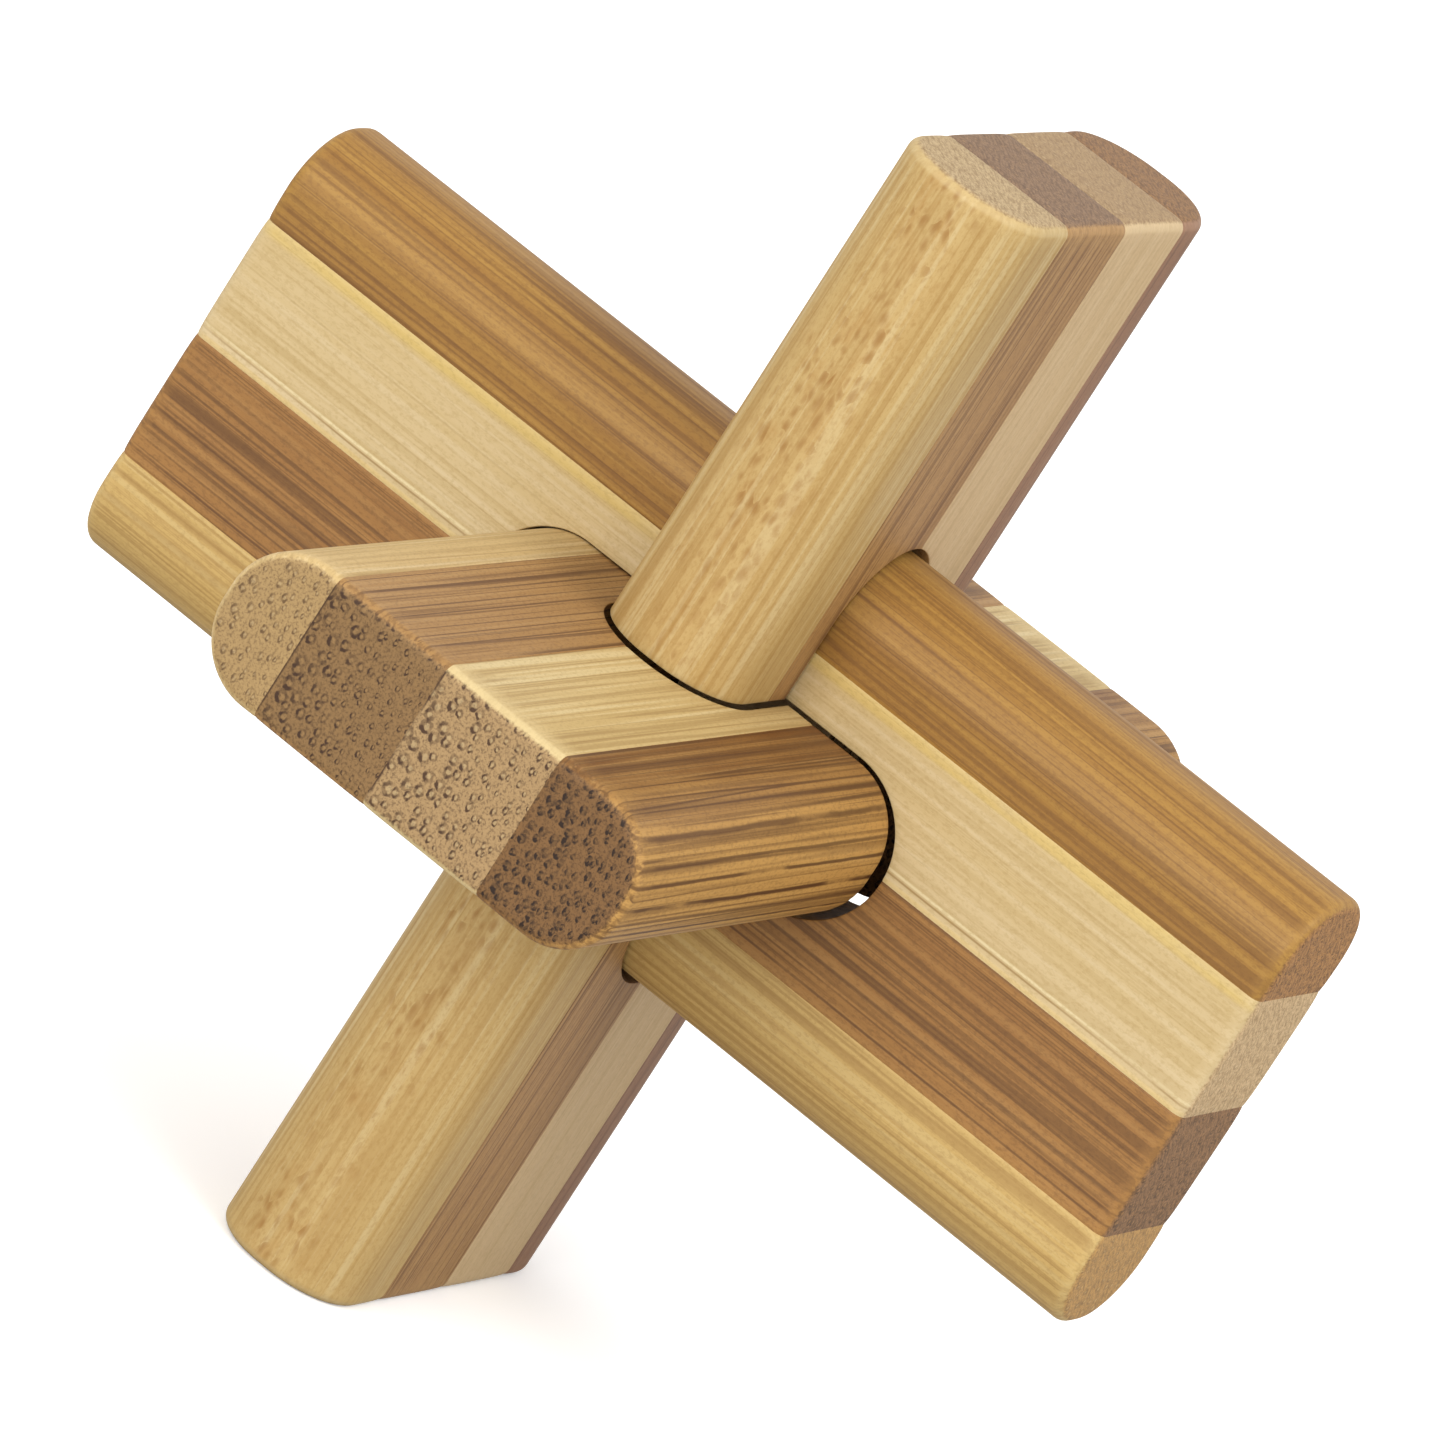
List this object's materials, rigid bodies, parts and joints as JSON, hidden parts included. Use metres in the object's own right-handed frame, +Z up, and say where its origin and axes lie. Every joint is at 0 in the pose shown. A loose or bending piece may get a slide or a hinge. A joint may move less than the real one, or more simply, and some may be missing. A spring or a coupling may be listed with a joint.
{
  "type": "burr puzzle",
  "caption": "Burr puzzle of flat laminated bamboo boards, slotted and rounded, each passing through the next at right angles.",
  "frame": {"origin": "middle of the closed puzzle, where the three boards cross", "axes": "+X along the plain board, +Y along the key board and the way it slides out, +Z up along the cross board; -Y is the front"},
  "size_m": [0.06, 0.06, 0.06],
  "materials": {
    "caramel_bamboo": "sanded, bare",
    "cream_bamboo": "sanded, bare",
    "brown_bamboo": "sanded, bare",
    "golden_bamboo": "sanded, bare",
    "umber_bamboo": "sanded, bare"
  },
  "bodies": {
    "plain_board": {"plain_caramel_strip": "caramel_bamboo", "plain_cream_strip": "cream_bamboo", "plain_brown_strip": "brown_bamboo", "plain_golden_strip": "golden_bamboo"},
    "key_board": {"key_golden_strip": "golden_bamboo", "key_brown_strip": "brown_bamboo", "key_cream_strip_front": "cream_bamboo", "key_cream_strip_rear": "cream_bamboo", "key_caramel_strip_front": "caramel_bamboo", "key_caramel_strip_rear": "caramel_bamboo"},
    "cross_board": {"cross_umber_strip": "umber_bamboo", "cross_cream_strip": "cream_bamboo", "cross_brown_strip_lower": "brown_bamboo", "cross_brown_strip_upper": "brown_bamboo", "cross_golden_strip_lower": "golden_bamboo", "cross_golden_strip_upper": "golden_bamboo"}
  },
  "joints": [
    {"name": "key_board_slide", "type": "slide", "parent": "plain_board", "child": "key_board", "axis": [0, 1, 0], "range_m": [0, 0.0127]},
    {"name": "cross_board_slide", "type": "slide", "parent": "plain_board", "child": "cross_board", "axis": [1, 0, 0], "range_m": [-0.0002, 0.0002]}
  ]
}
